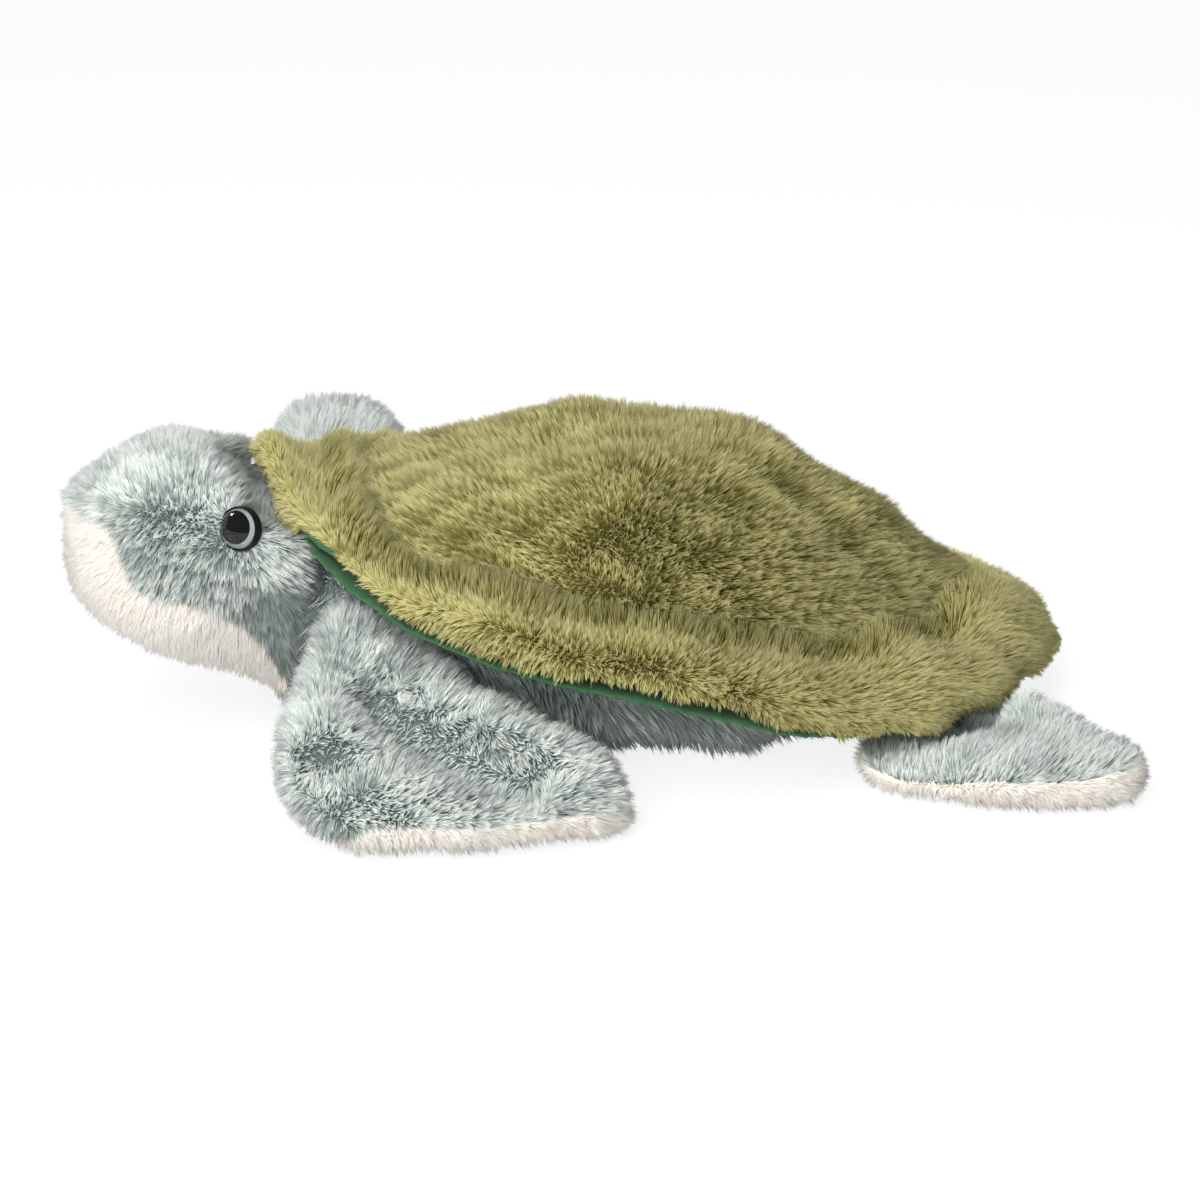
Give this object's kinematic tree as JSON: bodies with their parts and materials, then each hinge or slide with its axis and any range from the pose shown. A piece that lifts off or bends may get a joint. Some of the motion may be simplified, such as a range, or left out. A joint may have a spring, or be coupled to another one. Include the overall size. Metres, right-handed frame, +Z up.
{
  "type": "plush turtle",
  "caption": "Stuffed plush sea turtle: long-pile grey head and flippers, cream soles, olive fur shell with a padded brim, and domed safety eyes.",
  "frame": {"origin": "on the flat of the belly where it rests on the ground, in the middle plane of the body, 112 mm behind the neck seam", "axes": "-X towards the head, +Z up, -Y towards the turtle's left side; +X is the tail end and the longest extent"},
  "size_m": [0.383, 0.3052, 0.118],
  "materials": {
    "fur_grey": "matte",
    "fur_cream": "matte",
    "fur_olive": "matte",
    "velour_green": "matte",
    "stuffing": "matte",
    "eye_black": "gloss",
    "eye_iris": "gloss",
    "eye_lens": "gloss",
    "eye_washer": "matte"
  },
  "bodies": {
    "root": {"body_side_panel": "fur_grey", "belly_panel": "fur_cream", "body_filling": "stuffing", "shell_dome_panel": "fur_olive", "shell_dome_filling": "stuffing", "shell_rim_panel": "fur_olive", "shell_rim_filling": "stuffing", "shell_lining": "velour_green"},
    "head": {"head_top_panel": "fur_grey", "head_chin_panel": "fur_cream", "head_filling": "stuffing", "left_eye_shank": "eye_black", "left_eye_iris": "eye_iris", "left_eye_lens": "eye_lens", "left_eye_washer": "eye_washer", "right_eye_shank": "eye_black", "right_eye_iris": "eye_iris", "right_eye_lens": "eye_lens", "right_eye_washer": "eye_washer"},
    "front_left_flipper": {"front_left_flipper_top_panel": "fur_grey", "front_left_flipper_sole_panel": "fur_cream", "front_left_flipper_filling": "stuffing"},
    "front_right_flipper": {"front_right_flipper_top_panel": "fur_grey", "front_right_flipper_sole_panel": "fur_cream", "front_right_flipper_filling": "stuffing"},
    "rear_left_flipper": {"rear_left_flipper_top_panel": "fur_grey", "rear_left_flipper_sole_panel": "fur_cream", "rear_left_flipper_filling": "stuffing"},
    "rear_right_flipper": {"rear_right_flipper_top_panel": "fur_grey", "rear_right_flipper_sole_panel": "fur_cream", "rear_right_flipper_filling": "stuffing"}
  },
  "joints": [
    {"name": "head_nod", "type": "hinge", "parent": "root", "child": "head", "pos_m": [-0.112, 0, 0.052], "axis": [0, 1, 0], "range_deg": [-12, 8], "stiffness_Nm_per_rad": 0.8},
    {"name": "front_left_flap", "type": "hinge", "parent": "root", "child": "front_left_flipper", "pos_m": [-0.108, -0.048, 0.038], "axis": [-0.9119, 0.4104, 0], "range_deg": [-15, 6], "stiffness_Nm_per_rad": 0.5},
    {"name": "front_right_flap", "type": "hinge", "parent": "root", "child": "front_right_flipper", "pos_m": [-0.108, 0.048, 0.038], "axis": [0.9119, 0.4104, 0], "range_deg": [-15, 6], "stiffness_Nm_per_rad": 0.5},
    {"name": "rear_left_flap", "type": "hinge", "parent": "root", "child": "rear_left_flipper", "pos_m": [0.088, -0.066, 0.008], "axis": [-0.8423, -0.5391, 0], "range_deg": [-12, 3], "stiffness_Nm_per_rad": 0.4},
    {"name": "rear_right_flap", "type": "hinge", "parent": "root", "child": "rear_right_flipper", "pos_m": [0.088, 0.066, 0.008], "axis": [0.8423, -0.5391, 0], "range_deg": [-12, 3], "stiffness_Nm_per_rad": 0.4}
  ]
}
